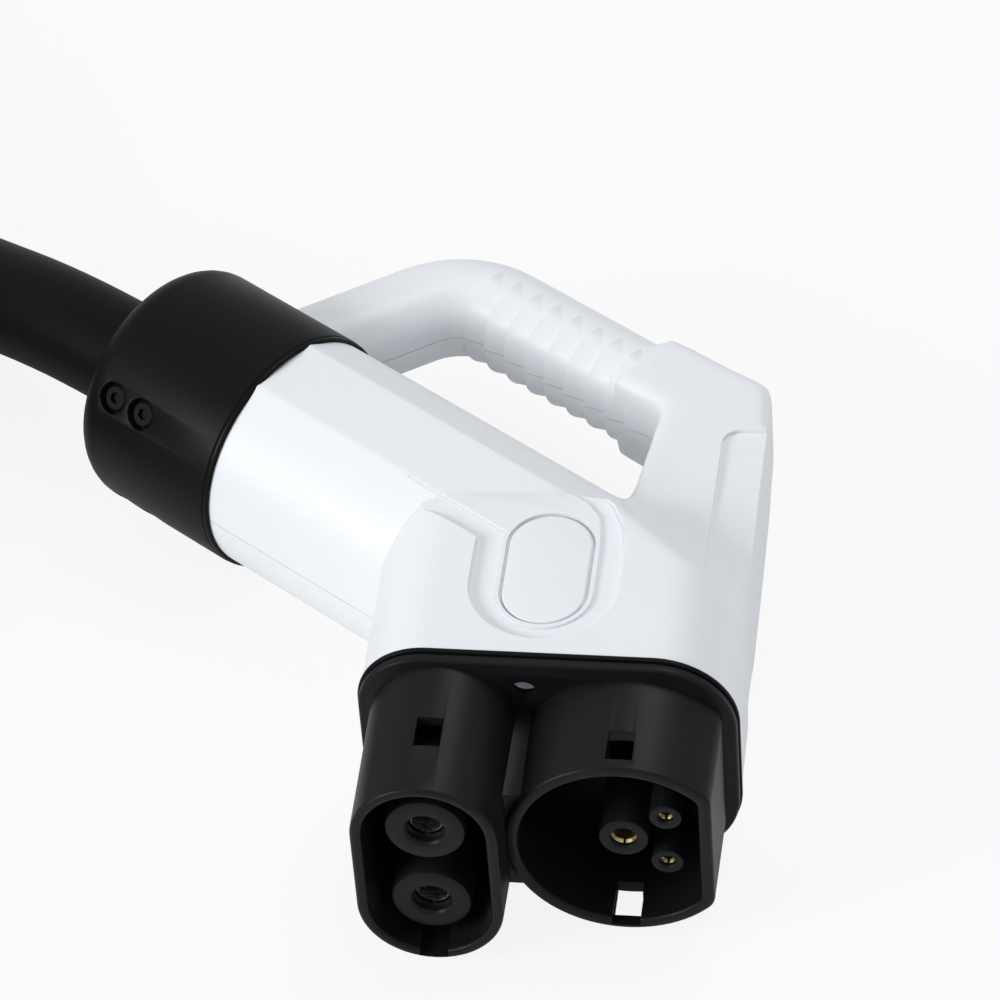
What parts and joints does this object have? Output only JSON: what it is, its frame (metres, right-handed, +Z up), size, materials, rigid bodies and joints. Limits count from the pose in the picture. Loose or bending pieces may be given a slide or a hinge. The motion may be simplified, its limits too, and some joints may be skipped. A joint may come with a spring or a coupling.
{
  "type": "ev charging plug",
  "caption": "Hand-held combined charging plug with a round contact group above a two-pole DC group, a closed loop handle, a rear collar and a coiled cable.",
  "frame": {"origin": "on the axis of the protective-earth contact, in the front face of the flange", "axes": "+X out of the plug face, the way the vehicle inlet leaves; +Y from the DC contacts towards the handle; +Z up as the plug lies on its side"},
  "size_m": [0.434, 0.8798, 0.074],
  "materials": {
    "white_shell": "satin moulded white",
    "black_plastic": "fine moulded black",
    "black_rubber": "soft black",
    "cable_jacket": "smooth black jacket",
    "silver_plate": "silver plated",
    "brass": "turned brass",
    "steel": "zinc plated",
    "red_insulation": "smooth red",
    "black_insulation": "smooth black",
    "green_insulation": "smooth green",
    "grey_insulation": "smooth grey"
  },
  "bodies": {
    "root": {"cable_clamp_lower": "black_plastic", "cable_clamp_upper": "black_plastic", "cable_coil": "cable_jacket", "cable_grommet": "black_rubber", "cable_run": "cable_jacket", "cable_tail": "cable_jacket", "clamp_screws": "steel", "coding_resistor": "grey_insulation", "collar_screws": "steel", "collar_seal": "black_rubber", "contact_retainer": "black_plastic", "cp_contact": "brass", "cp_lead": "grey_insulation", "cp_tower": "black_plastic", "dc_negative_contact": "silver_plate", "dc_negative_core": "black_insulation", "dc_negative_tower": "black_plastic", "dc_positive_contact": "silver_plate", "dc_positive_core": "red_insulation", "dc_positive_tower": "black_plastic", "emblem_inlay": "white_shell", "face_gasket": "black_rubber", "flange_screws": "steel", "front_interface": "black_plastic", "housing_lower": "white_shell", "housing_screws": "steel", "housing_upper": "white_shell", "pe_contact": "brass", "pe_core": "green_insulation", "pe_tower": "black_plastic", "pp_contact": "brass", "pp_lead": "grey_insulation", "pp_tower": "black_plastic", "rear_collar": "black_plastic", "retainer_screws": "steel", "tail_boot": "black_rubber", "tail_cores": "black_insulation", "tail_lugs": "steel", "temperature_sensors": "grey_insulation"}
  },
  "joints": []
}
